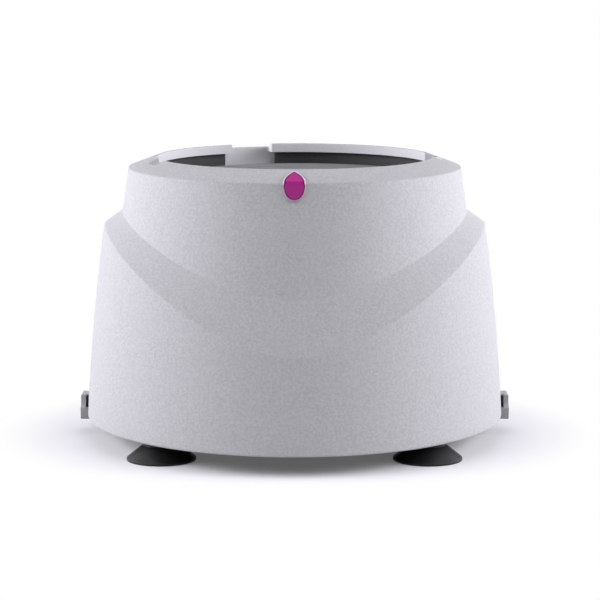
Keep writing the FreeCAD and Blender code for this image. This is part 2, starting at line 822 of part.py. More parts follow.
def motor_can():
    can = revolved([
        (shaft_radius + shaft_play, motor_low_z), (motor_radius, motor_low_z),
        (motor_radius, deck_low_z, motor_edge_round), (motor_boss_radius, deck_low_z),
        (motor_boss_radius, deck_low_z + motor_boss_height, motor_edge_round / 2),
        (shaft_radius + shaft_play, deck_low_z + motor_boss_height)])
    for place in motor_screw_places():
        can = can.cut(post(motor_screw_radius, deck_low_z - motor_screw_depth, deck_low_z + overlap, place))
    return can


def motor_cap():
    low_z = motor_low_z - motor_cap_length
    step_z = low_z + motor_cap_neck_height
    return revolved([
        (0, low_z), (motor_cap_neck_radius, low_z, motor_edge_round), (motor_cap_neck_radius, step_z),
        (motor_radius - motor_cap_step, step_z, motor_edge_round),
        (motor_radius - motor_cap_step, motor_low_z), (0, motor_low_z)])


def motor_terminals():
    """Two flat connector tabs under the motor's cap."""
    top_z = motor_low_z - motor_cap_length + motor_cap_neck_height
    tab = box((-terminal_thickness / 2, -terminal_width / 2, top_z - terminal_length),
              (terminal_thickness / 2, terminal_width / 2, top_z))
    return [moved(tab, side * terminal_x) for side in (-1, 1)]


def eccentric_hub():
    hub = post(hub_radius, hub_low_z, hub_top_z)
    hub = hub.fuse(post(hub_pin_radius + bearing_spacer, hub_top_z, bearing_low_z, platform_centre()))
    hub = hub.fuse(post(hub_pin_radius, bearing_low_z, bearing_top_z, platform_centre()))
    hub = hub.cut(post(shaft_radius, hub_low_z - overlap, hub_top_z - hub_roof))
    hub = hub.cut(post(bearing_screw_radius, hub_top_z, bearing_top_z + overlap, platform_centre()))
    return hub.cut(set_screw_rod(0, hub_radius + overlap))


def set_screw_rod(inner, outer):
    z = (hub_low_z + hub_top_z) / 2
    return rod(set_screw_radius, Vector(inner, 0, z), Vector(outer, 0, z))


def counterweight():
    """Sector of a thick ring on the side away from the eccentric pin."""
    low_z = hub_low_z + (hub_height - weight_thickness) / 2
    sector = revolved([(hub_radius, low_z), (weight_radius, low_z, weight_edge_round),
                       (weight_radius, low_z + weight_thickness, weight_edge_round),
                       (hub_radius, low_z + weight_thickness)], weight_angle)
    return turned(sector, 180 - weight_angle / 2 - seam_angle)


def bearing_ring(inner, outer):
    """Race with the ball groove turned into it."""
    ring = tube(inner, outer, bearing_low_z, bearing_top_z, platform_centre())
    groove = Part.makeTorus(ball_circle_radius(), bearing_ball_radius + bearing_ball_play,
                            platform_centre() + up * ((bearing_low_z + bearing_top_z) / 2))
    return ring.cut(groove)


def ball_circle_radius():
    return (hub_pin_radius + bearing_outer_radius) / 2


def bearing_balls():
    z = (bearing_low_z + bearing_top_z) / 2
    balls = []
    for i in range(bearing_ball_count):
        place = polar(ball_circle_radius(), 360 * i / bearing_ball_count, z) + platform_centre()
        balls.append(Part.makeSphere(bearing_ball_radius, place))
    return balls


def bearing_screw():
    return headed_screw(platform_centre(), bearing_screw_radius, bearing_screw_head_radius,
                        bearing_screw_head_height, bearing_top_z, hub_top_z)


def platform_centre():
    return Vector(eccentricity, 0, 0)


def mixing_platform():
    boss_radius = bearing_outer_radius + platform_boss_wall
    roof_z = bearing_top_z + bearing_screw_head_height + platform_roof_gap
    disc = revolved([
        (0, platform_low_z), (platform_radius - 2 * platform_skirt, platform_low_z),
        (platform_radius - platform_skirt, platform_low_z - platform_skirt),
        (platform_radius, platform_low_z - platform_skirt),
        (platform_radius, platform_top_z, platform_edge_round),
        (mat_radius, platform_top_z), (mat_radius, platform_top_z - mat_thickness),
        (0, platform_top_z - mat_thickness)])
    disc = disc.fuse(post(boss_radius, bearing_low_z, platform_low_z))
    disc = disc.cut(post(bearing_outer_radius, bearing_low_z - overlap, bearing_top_z))
    disc = disc.cut(post(bearing_outer_radius - bearing_race / 2, bearing_low_z, roof_z))
    return moved(disc, eccentricity)


def platform_mat():
    """Rubber mat with ring grooves."""
    low_z = platform_top_z - mat_thickness
    mat = post(mat_radius, low_z, platform_top_z)
    for i in range(mat_groove_count):
        radius = mat_groove_pitch * (i + 1)
        mat = mat.cut(tube(radius - mat_groove_width / 2, radius + mat_groove_width / 2,
                           platform_top_z - mat_groove_depth, platform_top_z + overlap))
    return moved(mat, eccentricity)


def guide_pins():
    low_z = well_floor_z - guide_pin_drop
    return [post(guide_pin_radius, low_z, platform_low_z, place + platform_centre())
            for place in guide_places()]


def guide_bushes():
    bushes = []
    outer = guide_hole_radius + guide_bush_wall
    for place in guide_places():
        sleeve = tube(guide_hole_radius, outer, well_under_z, well_floor_z, place)
        flange = tube(guide_hole_radius, outer + guide_bush_flange, well_floor_z,
                      well_floor_z + guide_bush_lift, place)
        bushes.append(sleeve.fuse(flange))
    return bushes


def deck_dampers():
    return [tube(deck_screw_radius, damper_radius, deck_top_z, well_under_z, place)
            for place in damper_places()]


def deck_screws():
    return [headed_screw(place, deck_screw_radius, deck_screw_head_radius, deck_screw_head_height,
                         deck_low_z, well_floor_z, head_up=False) for place in damper_places()]


def motor_screws():
    return [headed_screw(place, motor_screw_radius, motor_screw_head_radius, motor_screw_head_height,
                         deck_top_z, deck_low_z - motor_screw_depth) for place in motor_screw_places()]


def control_board():
    board = box((-board_x / 2, board_centre_y - board_y / 2, board_low_z),
                (board_x / 2, board_centre_y + board_y / 2, board_top_z))
    for place in board_places():
        board = board.cut(post(board_screw_radius, board_low_z - overlap, board_top_z + overlap, place))
    return board


def board_screws():
    return [headed_screw(place, board_screw_radius, board_screw_head_radius, board_screw_head_height,
                         board_top_z, plate_top_z) for place in board_places()]


def capacitors():
    cans = []
    top_z = board_top_z + capacitor_height
    can = revolved([(0, board_top_z), (capacitor_radius, board_top_z),
                    (capacitor_radius, top_z, capacitor_edge_round), (0, top_z)])
    for i in range(capacitor_count):
        x = -board_x / 2 + board_hole_margin + capacitor_pitch * (i + 1)
        cans.append(moved(can, x, board_centre_y - board_y / 4))
    return cans


def heat_sink():
    """Finned block on the board."""
    low_x = -heat_sink_length / 2
    low_y = board_centre_y + board_y / 4 - heat_sink_depth / 2
    base_z = board_top_z + heat_sink_base
    block = box((low_x, low_y, board_top_z), (-low_x, low_y + heat_sink_depth, base_z))
    pitch = (heat_sink_length - heat_sink_fin) / (heat_sink_fin_count - 1)
    for i in range(heat_sink_fin_count):
        x = low_x + pitch * i
        block = block.fuse(box((x, low_y, base_z), (x + heat_sink_fin, low_y + heat_sink_depth,
                                                    board_top_z + heat_sink_height)))
    return block


# Controls in the rear recess

def rear_holes():
    low_y = recess_panel_y - overlap
    high_y = recess_floor_y + overlap
    window = rocker_window()
    margin = switch_wall + panel_fit
    return [rear_rod(pot_bush_radius + pot_bush_fit, knob_x, low_y, high_y),
            rear_tool(rocker_x, window[0] + 2 * margin, window[1] + 2 * margin, low_y, high_y),
            rear_rod(jack_radius + panel_fit, jack_x, low_y, high_y)]


def rocker_window():
    return rocker_length + 2 * rocker_gap, rocker_height + 2 * rocker_gap


def speed_pot():
    body = rear_tool(knob_x, pot_body_size, pot_body_size, recess_panel_y - pot_body_depth, recess_panel_y)
    bush = rear_rod(pot_bush_radius, knob_x, recess_panel_y, recess_panel_y + pot_bush_length)
    hole = rear_rod(pot_shaft_radius + shaft_play, knob_x, recess_panel_y - pot_body_depth / 2,
                    recess_panel_y + pot_bush_length + overlap)
    return body.fuse(bush).cut(hole)


def pot_nut():
    corners = [polar(pot_nut_radius, 60 * i) for i in range(6)]
    outline = [(knob_x + p.x, recess_centre_z + p.y) for p in corners]
    nut = plate_xz(outline, recess_floor_y, recess_floor_y + pot_nut_height)
    return nut.cut(rear_rod(pot_bush_radius, knob_x, recess_floor_y - overlap,
                            recess_floor_y + pot_nut_height + overlap))


def knob_low_y():
    return recess_panel_y + pot_bush_length + knob_gap


def speed_shaft():
    return rear_rod(pot_shaft_radius, knob_x, recess_panel_y - pot_body_depth / 2,
                    knob_low_y() + knob_bore_depth)


def speed_knob():
    """Fluted knob with a pointer groove and a hollow back."""
    solid = revolved([(0, 0), (knob_radius, 0, knob_edge_round / 2),
                      (knob_radius - knob_taper, knob_height, knob_edge_round), (0, knob_height)])
    for i in range(knob_flute_count):
        place = polar(knob_radius + knob_flute_radius - knob_flute_depth, 360 * (i + 0.5) / knob_flute_count)
        solid = solid.cut(post(knob_flute_radius, -overlap, knob_height + overlap, place))
    mark = box((-knob_mark_width / 2, knob_mark_start, knob_height - knob_mark_depth),
               (knob_mark_width / 2, knob_radius + overlap, knob_height + overlap))
    solid = solid.cut(turned(mark, knob_turn_start - 180))
    solid = solid.cut(post(pot_shaft_radius, -overlap, knob_bore_depth))
    solid = turned(solid, -90, Vector(1, 0, 0))
    return moved(solid, knob_x, knob_low_y(), recess_centre_z)


def switch_frame():
    """Body of the rocker switch: flange outside the panel, open box through it."""
    width, height = rocker_window()
    flange = rear_tool(rocker_x, width + 2 * (switch_wall + switch_flange),
                       height + 2 * (switch_wall + switch_flange), recess_floor_y,
                       recess_floor_y + switch_flange_thickness, switch_corner_round)
    shell = rear_tool(rocker_x, width + 2 * switch_wall, height + 2 * switch_wall,
                      recess_floor_y - switch_depth, recess_floor_y)
    hollow = rear_tool(rocker_x, width, height, recess_floor_y - switch_depth + 2 * switch_wall,
                       recess_floor_y + switch_flange_thickness + overlap)
    frame = flange.fuse(shell).cut(hollow)
    for side in (-1, 1):
        frame = frame.fuse(rocker_trunnion(side, height / 2 + switch_wall / 2, trunnion_radius))
    return frame


def rocker_pivot():
    return Vector(rocker_x, recess_floor_y - rocker_pivot_depth, recess_centre_z)


def rocker_trunnion(side, reach, radius):
    """Short pivot stub of the switch body."""
    pivot = rocker_pivot()
    inner = side * (rocker_height / 2 - trunnion_length)
    return rod(radius, pivot + Vector(0, 0, inner), pivot + Vector(0, 0, side * reach))


def rocker():
    """Rocker with a shallow crown, tilted to its off position."""
    pivot = rocker_pivot()
    half = rocker_length / 2
    root_half = half - rocker_root_taper
    root_y = pivot.y - rocker_root
    top_y = recess_floor_y + switch_flange_thickness + rocker_rise
    edge_y = top_y - rocker_edge_drop
    outline = [(-half, edge_y, rocker_edge_round), (0, top_y - rocker_crown, rocker_crown_round),
               (half, edge_y, rocker_edge_round), (root_half, root_y, rocker_edge_round),
               (-root_half, root_y, rocker_edge_round)]
    solid = plate_xz(outline, -rocker_height / 2, rocker_height / 2)
    solid = turned(solid, -90, Vector(1, 0, 0))
    solid = moved(solid, rocker_x, 0, recess_centre_z)
    for side in (-1, 1):
        solid = solid.cut(rocker_trunnion(side, rocker_height, trunnion_radius + shaft_play))
    return turned(solid, rocker_tilt, up, pivot)


def power_jack():
    inner_y = recess_panel_y - jack_body_depth
    body = rear_tool(jack_x, jack_body_width, jack_body_width, inner_y, recess_panel_y)
    neck = rear_rod(jack_radius, jack_x, recess_panel_y, recess_floor_y)
    flange = rear_rod(jack_flange_radius, jack_x, recess_floor_y, recess_floor_y + jack_flange_thickness)
    mouth_y = recess_floor_y + jack_flange_thickness
    hole = rear_rod(jack_hole_radius, jack_x, mouth_y - jack_hole_depth, mouth_y + overlap)
    return body.fuse(neck).fuse(flange).cut(hole)


def power_jack_pin():
    mouth_y = recess_floor_y + jack_flange_thickness
    return rear_rod(jack_pin_radius, jack_x, mouth_y - jack_hole_depth, mouth_y - jack_pin_recess)


# Indicator

def indicator_lens():
    return leaf(0.0).common(lens_skin())


def led_back_radius():
    return well_radius + wall + led_board_thickness + led_clearance


def indicator_led():
    return rod(led_radius, led_axis(upper_wall_radius(rim_z - led_drop) - lens_depth - 2 * led_clearance),
               led_axis(led_back_radius()))


def indicator_board():
    half = led_board_width / 2
    inner = led_back_radius() - led_board_thickness
    top_z = rim_z - rim_skin - led_clearance
    return box((-half, -led_back_radius(), top_z - led_board_height), (half, -inner, top_z))


def motor_shaft():
    return post(shaft_radius, motor_low_z + shaft_end_gap, hub_top_z - hub_roof)


def main():
    os.makedirs("parts", exist_ok=True)
    # housing and base
    save("housing", housing())
    save("base_plate", base_plate())
    for name, place in zip(("rear_right", "rear_left", "front_left", "front_right"), foot_places()):
        save("foot_" + name, moved(foot(), place.x, place.y))
    save("well_liner", well_liner())
    save("indicator_lens", indicator_lens())
    save("indicator_led", indicator_led())
    save("indicator_board", indicator_board())
    # side latches
    for name, make in (("lever", latch_lever), ("pad", latch_pad)):
        save("right_latch_" + name, make())
        save("left_latch_" + name, mirrored_x(make()))
    save("right_latch_pin", latch_pin_rod(latch_pin_radius))
    save("left_latch_pin", mirrored_x(latch_pin_rod(latch_pin_radius)))
    # motor and its deck
    save("deck_plate", deck_plate())
    save("deck_dampers", *deck_dampers())
    save("deck_screws", *deck_screws())
    save("guide_bushes", *guide_bushes())
    save("motor_can", motor_can())
    save("motor_cap", motor_cap())
    save("motor_terminals", *motor_terminals())
    save("motor_screws", *motor_screws())
    # turning parts
    save("motor_shaft", motor_shaft())
    save("eccentric_hub", eccentric_hub())
    save("counterweight", counterweight())
    save("hub_set_screw", set_screw_rod(shaft_radius, hub_radius))
    save("bearing_inner_race", bearing_ring(hub_pin_radius, hub_pin_radius + bearing_race))
    save("bearing_balls", *bearing_balls())
    save("bearing_screw", bearing_screw())
    # orbiting parts
    save("mixing_platform", mixing_platform())
    save("platform_mat", platform_mat())
    save("bearing_outer_race", bearing_ring(bearing_outer_radius - bearing_race, bearing_outer_radius))
    save("guide_pins", *guide_pins())
    # electronics and rear controls
    save("control_board", control_board())
    save("board_screws", *board_screws())
    save("capacitors", *capacitors())
    save("heat_sink", heat_sink())
    save("speed_pot", speed_pot())
    save("pot_nut", pot_nut())
    save("speed_shaft", speed_shaft())
    save("speed_knob", speed_knob())
    save("switch_frame", switch_frame())
    save("power_rocker", rocker())
    save("power_jack", power_jack())
    save("power_jack_pin", power_jack_pin())


main()
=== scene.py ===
import json
import math

import bpy
import numpy as np
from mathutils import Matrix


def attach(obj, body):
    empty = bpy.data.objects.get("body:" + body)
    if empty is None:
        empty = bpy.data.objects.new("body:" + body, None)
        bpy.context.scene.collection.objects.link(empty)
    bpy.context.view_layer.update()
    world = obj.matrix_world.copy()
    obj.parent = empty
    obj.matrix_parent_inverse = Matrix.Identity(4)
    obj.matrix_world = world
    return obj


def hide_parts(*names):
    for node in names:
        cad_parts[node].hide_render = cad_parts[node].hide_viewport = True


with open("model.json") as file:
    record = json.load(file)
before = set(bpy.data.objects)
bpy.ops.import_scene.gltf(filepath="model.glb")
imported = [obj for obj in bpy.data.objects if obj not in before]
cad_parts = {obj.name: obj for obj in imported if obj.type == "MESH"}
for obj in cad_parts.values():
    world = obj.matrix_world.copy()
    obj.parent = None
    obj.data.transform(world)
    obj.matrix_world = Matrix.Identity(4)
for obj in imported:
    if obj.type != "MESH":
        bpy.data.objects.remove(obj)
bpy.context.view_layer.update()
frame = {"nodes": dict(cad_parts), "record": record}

# Sizes of the housing's outside, in millimetres
mm = 0.001
base_edge_z = 8.3
base_radius = 90.6
shoulder_radius = 82.5
shoulder_z = 92.7
shoulder_rise = 5.7
wall_bulge = 0.95
swoop_low_drop = 44.4
swoop_high_drop = 27.9
swoop_low_power = 1.6
swoop_high_power = 1.75
rim_radius = 71.8
rim_z = 117.15
rim_rise = 4.75
upper_taper = 0.143
wall = 3.0
rim_skin = 4.0
lip_radius = 59.2
lip_thickness = 4.2
lip_end_round = 0.4
well_radius = 64.0
well_depth = 16.2
well_floor_thickness = 2.6
well_floor_hole_radius = 33.0
notches = ((-19.5, 18.9), (84.5, 20.0), (-108.5, 11.2))   # angle from the back towards +X, and width
notch_wall_skin = 0.05
lip_z = rim_z + rim_rise
well_floor_z = lip_z - well_depth

# Rounded edges of the moulding
base_round = 1.2
shoulder_round = 2.0
crease_round = 1.2
rim_round = 0.9
lip_round = 0.5

# Rear recess and latch cut-outs
recess_width = 66.0
recess_height = 24.0
recess_centre_z = 31.1
recess_floor_y = 78.5
recess_round = 4.0
latch_half_width = 8.8
latch_notch_top = 12.9
keeper_half_width = 3.95
keeper_low_z = 16.15
keeper_high_z = 17.65
keeper_depth = 1.0

# Indicator lens, and the widths of its painted highlight edge and painted shade band
leaf_width = 8.6
leaf_fall = 6.9
leaf_upper_power = 1.95
leaf_crease_drop = 0.6
leaf_tip_margin = 3.9
leaf_least_half = 0.02
leaf_bend_start = 1.2
leaf_bend_half = 1.1
lens_crown = 0.12
lens_sink = 0.05
lens_thickness = 0.8
lens_highlight_edge = 0.4
lens_shade_border = 0.8

# Openings in the recess panel
knob_x = -19.0
rocker_x = 3.5
jack_x = 22.0
pot_hole_radius = 3.6
jack_hole_radius = 4.1
switch_window = (15.0, 10.8)
switch_hole_round = 0.3
round_hole_flat = 0.001

# Colour of the studio's light
studio_tint = (1.0, 0.985, 1.075)


def mesh_object(name, points, faces):
    """Object from an array of points in millimetres and a list of faces."""
    mesh = bpy.data.meshes.new(name)
    mesh.from_pydata((np.asarray(points, float) * mm).tolist(), [], faces)
    mesh.validate()
    mesh.shade_smooth()
    item = bpy.data.objects.new(name, mesh)
    bpy.context.scene.collection.objects.link(item)
    return item


def grid_faces(rows, columns, close_rows=True, close_columns=True):
    """Quads of a grid of points stored row by row; either way round may close on itself."""
    i = np.arange(rows if close_rows else rows - 1)
    j = np.arange(columns if close_columns else columns - 1)
    i, j = np.meshgrid(i, j, indexing="ij")
    down, right = (i + 1) % rows, (j + 1) % columns
    corners = (i * columns + j, i * columns + right, down * columns + right, down * columns + j)
    return np.stack([c.ravel() for c in corners], axis=1).tolist()


def lower_wall(z):
    """Radius of the lower wall: a circle through its two ends with the given bulge."""
    run = shoulder_radius - base_radius
    rise = shoulder_z - base_edge_z
    chord = math.hypot(run, rise)
    radius = (chord * chord / 4 + wall_bulge * wall_bulge) / (2 * wall_bulge)
    centre_r = (base_radius + shoulder_radius) / 2 - (radius - wall_bulge) * rise / chord
    centre_z = (base_edge_z + shoulder_z) / 2 + (radius - wall_bulge) * run / chord
    return centre_r + np.sqrt(radius * radius - (z - centre_z) ** 2)


def upper_wall(z):
    """Radius of the upper cone: it grows evenly downwards from the rim."""
    return rim_radius + upper_taper * (rim_z - z)


def rim_slope(radius):
    """Height of the rim's slope at a radius."""
    return rim_z + rim_rise * (rim_radius - radius) / (rim_radius - lip_radius)


def notch_end(width):
    """Centre of the rounded end of the lip beside a notch: its distances across and along the notch."""
    across = width / 2 + lip_end_round
    return across, math.sqrt((lip_radius + lip_end_round) ** 2 - across ** 2)


def lip_edge(angle):
    """Inside radius of the lip at an angle: a ray from the axis meets the lip, a notch's rounded end, its
    straight side or its far wall."""
    radius = np.full_like(angle, lip_radius)
    far_wall = well_radius - notch_wall_skin
    for middle, width in notches:
        across, along = notch_end(width)
        turn = np.abs((angle - math.radians(middle) + math.pi) % (2 * math.pi) - math.pi)
        side = width / 2 / np.maximum(np.sin(turn), 1e-6)
        nearest = across * np.sin(turn) + along * np.cos(turn)
        root = np.sqrt(np.maximum(nearest ** 2 - across ** 2 - along ** 2 + lip_end_round ** 2, 0))
        in_notch = turn < math.atan2(width / 2, along)
        on_round = ~in_notch & (turn < math.atan2(across, along))
        radius = np.where(in_notch, np.minimum(side, far_wall), radius)
        radius = np.where(on_round, nearest - root, radius)
    return radius


def rounded(before, corner, after, radius, steps):
    """Points of an arc that rounds a corner, for every angle at once.

    Each point blends the directions from the arc's centre to its two ends, by the sines of their shares of
    the turn.
    """
    back = before - corner
    ahead = after - corner
    back /= np.linalg.norm(back, axis=1, keepdims=True)
    ahead /= np.linalg.norm(ahead, axis=1, keepdims=True)
    half = np.arccos(np.clip((back * ahead).sum(axis=1, keepdims=True), -1, 1)) / 2
    middle = back + ahead
    middle /= np.linalg.norm(middle, axis=1, keepdims=True)
    centre = corner + middle * radius / np.sin(half)
    first = corner + back * radius / np.tan(half) - centre
    last = corner + ahead * radius / np.tan(half) - centre
    sweep = math.pi - 2 * half

    def point(share):
        blend = np.sin((1 - share) * sweep) * first + np.sin(share * sweep) * last
        return centre + blend / np.sin(sweep)

    return [point(share) for share in np.linspace(0, 1, steps)]


def housing_angles():
    """Angles from the back in radians: even steps, with finer ones at the ends of the lip."""
    margin = 0.003
    parts = [np.radians(np.arange(0, 360, 0.5))]
    for middle, width in notches:
        across, along = notch_end(width)
        start = math.asin(width / 2 / well_radius) - margin
        fine = np.linspace(start, math.atan2(across, along) + margin, 40)
        parts += [math.radians(middle) + fine, math.radians(middle) - fine]
    angles = np.concatenate(parts) % (2 * math.pi)
    return np.unique(np.round(angles, 6))


def housing_surface():
    """Closed skin of the moulding: for every angle a closed profile of radius and height, with round corners.

    The profile runs up the bowed lower wall, over the falling band to the upper cone, over the rim and lip,
    down the well, and back inside at one wall thickness. The band's two edges fall from the sides to the
    front and back by a power of the angle's sine.
    """
    angle = housing_angles()
    one = np.ones_like(angle)
    side = np.abs(np.sin(angle))
    band_low = shoulder_z - swoop_low_drop * (1 - side ** swoop_low_power)
    band_high = shoulder_z + shoulder_rise - swoop_high_drop * (1 - side ** swoop_high_power)
    lip = lip_edge(angle)
    ceiling = rim_z - rim_skin
    lip_under = lip_z - lip_thickness
    well_under = well_floor_z - well_floor_thickness

    def corner(radius, z):
        return np.stack([radius * one, z * one], axis=1)

    def wall_point(share, inset, low, high):
        z = low + (high - low) * share
        return corner(lower_wall(z) - inset, z)

    edge = corner(base_radius, base_edge_z)
    inner_edge = corner(base_radius - wall, base_edge_z)
    shoulder = corner(lower_wall(band_low), band_low)
    crease = corner(upper_wall(band_high), band_high)
    rim = corner(rim_radius, rim_z)
    lip_top = corner(lip, rim_slope(lip))
    lip_low = corner(lip, lip_under)
    wall_shares = np.linspace(0, 1, 15)[1:-1]
    low_start = base_edge_z + 2 * base_round
    low_end = band_low - 2 * shoulder_round
    rows = rounded(inner_edge, edge, wall_point(0.2, 0, base_edge_z, band_low), base_round, 6)
    rows += [wall_point(t, 0, low_start, low_end) for t in wall_shares]
    rows += rounded(wall_point(0.97, 0, base_edge_z, band_low), shoulder, crease, shoulder_round, 8)
    rows += rounded(shoulder, crease, rim, crease_round, 6)
    rows += rounded(crease, rim, lip_top, rim_round, 7)
    rows += rounded(rim, lip_top, lip_low, lip_round, 6)
    rows += [lip_low, corner(well_radius, lip_under), corner(well_radius, well_floor_z),
             corner(well_floor_hole_radius, well_floor_z), corner(well_floor_hole_radius, well_under),
             corner(well_radius + wall, well_under), corner(well_radius + wall, ceiling),
             corner(upper_wall(ceiling) - wall, ceiling), crease - wall, shoulder - wall]
    rows += [wall_point(t, wall, base_edge_z, band_low - wall) for t in np.linspace(0.9, 0, 9)]
    profile = np.stack(rows)
    radius, z = profile[..., 0], profile[..., 1]
    points = np.stack([radius * np.sin(angle), radius * np.cos(angle), z], axis=-1)
    return mesh_object("housing_skin", points.reshape(-1, 3), grid_faces(len(rows), len(angle)))


def outline_prism(name, outline, low_y, high_y):
    """Closed prism along Y from an (x, z) outline given anticlockwise as seen from the front."""
    outline = np.asarray(outline, float)
    count = len(outline)
    rings = [np.column_stack([outline[:, 0], np.full(count, y), outline[:, 1]]) for y in (low_y, high_y)]
    ahead = (np.arange(count) + 1) % count
    sides = np.column_stack([np.arange(count), np.arange(count) + count, ahead + count, ahead])
    faces = sides.tolist() + [list(range(count)), list(range(2 * count - 1, count - 1, -1))]
    return mesh_object(name, np.concatenate(rings), faces)


def rounded_rectangle(centre, width, height, radius, steps=8):
    """Outline of a rectangle, anticlockwise, with a quarter circle at each corner."""
    quarter = np.linspace(0, math.pi / 2, steps)
    parts = []
    for turn, (sx, sz) in enumerate(((1, 1), (-1, 1), (-1, -1), (1, -1))):
        angle = quarter + turn * math.pi / 2
        x = centre[0] + sx * (width / 2 - radius) + radius * np.cos(angle)
        z = centre[1] + sz * (height / 2 - radius) + radius * np.sin(angle)
        parts.append(np.column_stack([x, z]))
    return np.concatenate(parts)


def combine(target, tool, operation):
    """Joins a tool to a piece, cuts it out or keeps what both share, for good, and removes the tool."""
    modifier = target.modifiers.new(operation, "BOOLEAN")
    modifier.operation = operation
    modifier.solver = "EXACT"
    modifier.object = tool
    shape = target.evaluated_get(bpy.context.evaluated_depsgraph_get())
    result = bpy.data.meshes.new_from_object(shape)
    target.modifiers.clear()
    target.data = result
    bpy.data.objects.remove(tool)


def block(name, low, high):
    """Box from its lowest to its highest corner."""
    outline = [(low[0], low[2]), (high[0], low[2]), (high[0], high[2]), (low[0], high[2])]
    return outline_prism(name, outline, low[1], high[1])


def recess_outline(margin):
    """Outline of the rear recess, larger all round by a margin."""
    return rounded_rectangle((0, recess_centre_z), recess_width + 2 * margin, recess_height + 2 * margin,
                             recess_round + margin)


def wall_core():
    """Solid of revolution out to the middle of the lower wall, longer than the recess is high."""
    z = np.linspace(recess_centre_z - recess_height, recess_centre_z + recess_height, 33)[:, None]
    angle = np.linspace(2 * math.pi, 0, 720, endpoint=False)
    radius = lower_wall(z) - wall / 2
    points = np.stack([radius * np.sin(angle), radius * np.cos(angle), z + 0 * angle], axis=-1)
    faces = grid_faces(len(z), len(angle), close_rows=False)
    first = list(range(len(angle)))
    last = [(len(z) - 1) * len(angle) + i for i in first]
    return mesh_object("wall_core", points.reshape(-1, 3), faces + [first[::-1], last])


def cut_recess(skin):
    """Rear recess: a block that ends inside the wall is joined on, then hollowed from the back."""
    shell = outline_prism("recess_block", recess_outline(wall), recess_floor_y - wall, base_radius)
    combine(shell, wall_core(), "INTERSECT")
    combine(skin, shell, "UNION")
    hollow = outline_prism("recess_hollow", recess_outline(0), recess_floor_y, base_radius + wall)
    combine(skin, hollow, "DIFFERENCE")


def cut_panel_holes(skin):
    """Holes in the recess panel for the knob's bush, the switch and the jack."""
    holes = [(x, (2 * radius, 2 * radius), radius - round_hole_flat)
             for x, radius in ((knob_x, pot_hole_radius), (jack_x, jack_hole_radius))]
    holes.append((rocker_x, switch_window, switch_hole_round))
    for x, size, corner_radius in holes:
        outline = rounded_rectangle((x, recess_centre_z), *size, corner_radius)
        hole = outline_prism("panel_hole", outline, recess_floor_y - 2 * wall, recess_floor_y + wall)
        combine(skin, hole, "DIFFERENCE")


def cut_side(skin, side, radius, half_width, low_z, high_z):
    """Cuts a block out of the wall at the left or right, from a radius outwards."""
    low_x, high_x = sorted((side * radius, side * (base_radius + wall)))
    tool = block("side_cut", (low_x, -half_width, low_z), (high_x, half_width, high_z))
    combine(skin, tool, "DIFFERENCE")


def cut_latch_places(skin):
    """At each side a notch for the latch in the lower edge, and a shallow slot above it for its hook."""
    keeper_radius = float(lower_wall(keeper_low_z)) - keeper_depth
    for side in (-1, 1):
        cut_side(skin, side, base_radius - 3 * wall, latch_half_width, 0, latch_notch_top)
        cut_side(skin, side, keeper_radius, keeper_half_width, keeper_low_z, keeper_high_z)


def make_housing(material):
    """The housing's skin with its cuts, in place of the plain solid."""
    skin = housing_surface()
    cut_recess(skin)
    cut_panel_holes(skin)
    cut_latch_places(skin)
    skin.data.shade_smooth()
    skin.data.set_sharp_from_angle(angle=math.radians(40))
    skin.data.materials.append(material)
    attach(skin, "base")
    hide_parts("housing")


def rim_path(along):
    """Points and outward directions of the rim's section by the length along it: positive up the slope,
    negative down the upper wall, with an arc between them."""
    slope_turn = math.atan2(rim_radius - lip_radius, rim_rise)
    wall_turn = math.atan2(upper_taper, 1)
    half_arc = rim_round * (slope_turn - wall_turn) / 2
    turn = np.clip(wall_turn + (along + half_arc) / rim_round, wall_turn, slope_turn)
    out = np.stack([np.cos(turn), np.sin(turn)], axis=1)
    slope_out = np.array([math.cos(slope_turn), math.sin(slope_turn)])
    wall_out = np.array([math.cos(wall_turn), math.sin(wall_turn)])
    centre = np.array([rim_radius, rim_z]) - rim_round * (slope_out + wall_out) / (1 + slope_out @ wall_out)
    past = along - np.clip(along, -half_arc, half_arc)
    up = np.column_stack([-out[:, 1], out[:, 0]])
    return centre + rim_round * out + past[:, None] * up, out


